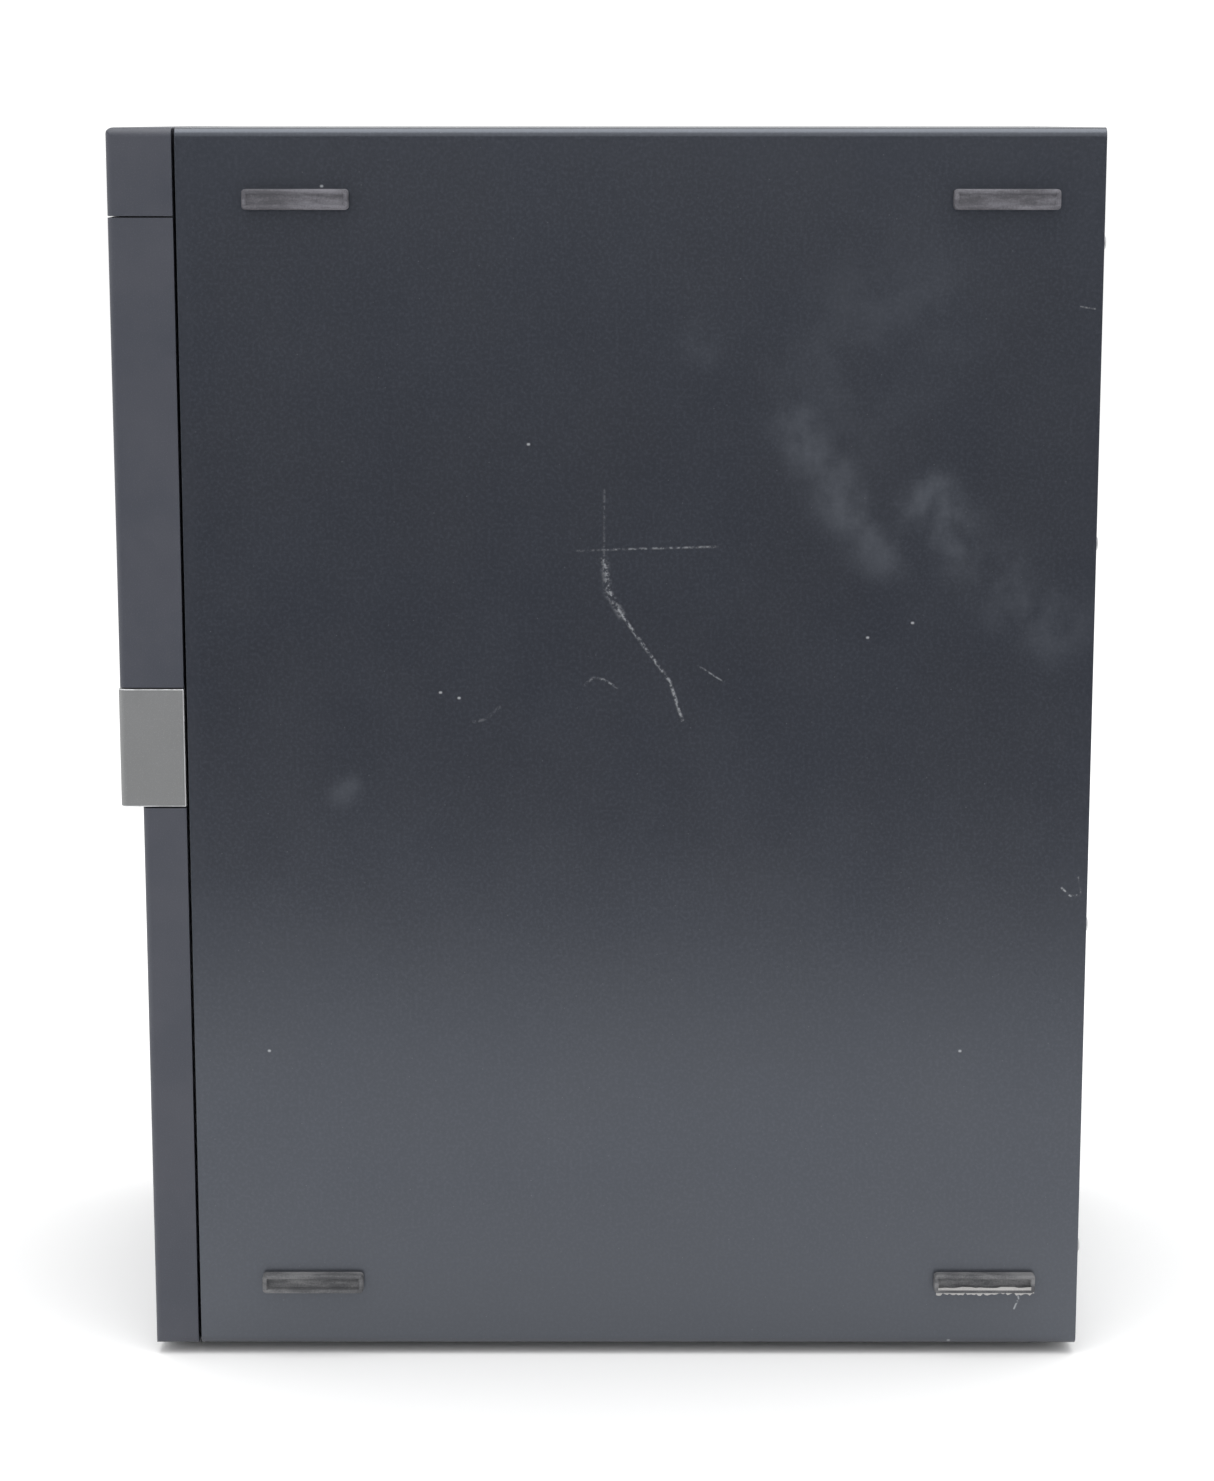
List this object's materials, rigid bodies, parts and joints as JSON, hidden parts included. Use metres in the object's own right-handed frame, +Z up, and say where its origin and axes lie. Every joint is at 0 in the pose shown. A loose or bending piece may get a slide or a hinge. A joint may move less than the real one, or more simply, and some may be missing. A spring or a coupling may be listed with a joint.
{
  "type": "desktop computer tower",
  "caption": "Upright office computer tower with a smooth dark steel skin, stepped black bezel with a silver band, bar feet on its side, and fitted insides.",
  "frame": {"origin": "middle of the footprint's bounding box, on the table", "axes": "+Z up, the front bezel faces -Y, the side with the four bar feet faces +X and the access panel faces -X"},
  "size_m": [0.17, 0.272, 0.338],
  "materials": {
    "dark_paint": "satin, smooth baked paint with fine scratches",
    "sheet_steel": "galvanised sheet",
    "black_plastic": "fine moulded texture",
    "silver_plastic": "satin silver paint",
    "rubber": "matt",
    "board_green": "solder mask",
    "aluminium": "as extruded",
    "connector_black": "satin",
    "fan_black": "satin",
    "socket_steel": "plated",
    "cable_black": "soft sleeve",
    "light_pipe": "clear to milky"
  },
  "bodies": {
    "case": {"outer_skin": "dark_paint", "front_wall": "sheet_steel", "rear_wall": "sheet_steel", "board_tray": "sheet_steel", "padlock_loop": "sheet_steel", "slot_cover_1": "sheet_steel", "slot_cover_2": "sheet_steel", "slot_cover_3": "sheet_steel", "slot_cover_4": "sheet_steel", "front_bezel": "black_plastic", "bezel_cap": "black_plastic", "accent_band": "silver_plastic", "bay_cover": "black_plastic", "drive_light": "light_pipe", "front_board": "board_green", "front_ports_left": "socket_steel", "front_ports_right": "socket_steel", "front_port_type_c": "socket_steel", "headset_jack": "connector_black", "drive_bay_frame": "sheet_steel", "optical_drive_shell": "sheet_steel", "hard_drive": "aluminium", "hard_drive_cage": "sheet_steel", "motherboard": "board_green", "processor": "aluminium", "heatsink": "aluminium", "memory_module_1": "board_green", "memory_module_2": "board_green", "display_ports": "socket_steel", "usb_stack": "socket_steel", "lan_stack": "socket_steel", "audio_jacks": "connector_black", "port_shield": "socket_steel", "supply_case": "sheet_steel", "supply_board": "board_green", "mains_inlet": "connector_black", "rear_fan_frame": "fan_black", "supply_fan_frame": "fan_black", "cooler_fan_frame": "fan_black", "main_power_cable": "cable_black", "drive_cable": "cable_black", "side_foot_upper_front": "rubber", "side_foot_upper_rear": "rubber", "side_foot_lower_front": "rubber", "side_foot_lower_rear": "rubber", "foot_front_left": "rubber", "foot_front_right": "rubber", "foot_rear_left": "rubber", "foot_rear_right": "rubber"},
    "access_panel": {"access_panel": "dark_paint", "latch_cup": "black_plastic"},
    "panel_latch": {"panel_latch": "black_plastic"},
    "disc_tray": {"disc_tray": "black_plastic", "tray_bezel": "black_plastic"},
    "eject_button": {"eject_button": "black_plastic"},
    "power_button": {"power_button": "black_plastic"},
    "slot_retainer": {"slot_retainer": "sheet_steel"},
    "cooler_fan_rotor": {"cooler_fan_rotor": "fan_black"},
    "rear_fan_rotor": {"rear_fan_rotor": "fan_black"},
    "supply_fan_rotor": {"supply_fan_rotor": "fan_black"}
  },
  "joints": [
    {"name": "panel_hinge", "type": "hinge", "parent": "case", "child": "access_panel", "pos_m": [-0.085, 0, 0.003], "axis": [0, -1, 0], "range_deg": [0, 90]},
    {"name": "latch_pivot", "type": "hinge", "parent": "access_panel", "child": "panel_latch", "pos_m": [-0.083, 0.0644, 0.3212], "axis": [0, 1, 0], "range_deg": [0, 35], "stiffness_Nm_per_rad": 0.03, "springref_deg": -11.46},
    {"name": "tray_slide", "type": "slide", "parent": "case", "child": "disc_tray", "axis": [0, -1, 0], "range_m": [0, 0.118]},
    {"name": "eject_press", "type": "slide", "parent": "disc_tray", "child": "eject_button", "axis": [0, 1, 0], "range_m": [0, 0.0008], "stiffness_N_per_m": 300, "springref_m": -0.0008},
    {"name": "power_press", "type": "slide", "parent": "case", "child": "power_button", "axis": [0, 1, 0], "range_m": [0, 0.0012], "stiffness_N_per_m": 500, "springref_m": -0.001},
    {"name": "retainer_hinge", "type": "hinge", "parent": "case", "child": "slot_retainer", "pos_m": [-0.06005, 0.1295, 0.048], "axis": [0, 0, 1], "range_deg": [0, 90]},
    {"name": "cooler_fan_spin", "type": "hinge", "parent": "case", "child": "cooler_fan_rotor", "pos_m": [0.025, 0.033, 0.175], "axis": [-1, 0, 0], "continuous": true},
    {"name": "rear_fan_spin", "type": "hinge", "parent": "case", "child": "rear_fan_rotor", "pos_m": [-0.0302, 0.112, 0.196], "axis": [0, 1, 0], "continuous": true},
    {"name": "supply_fan_spin", "type": "hinge", "parent": "case", "child": "supply_fan_rotor", "pos_m": [-0.0235, 0.113, 0.2925], "axis": [0, 1, 0], "continuous": true}
  ]
}
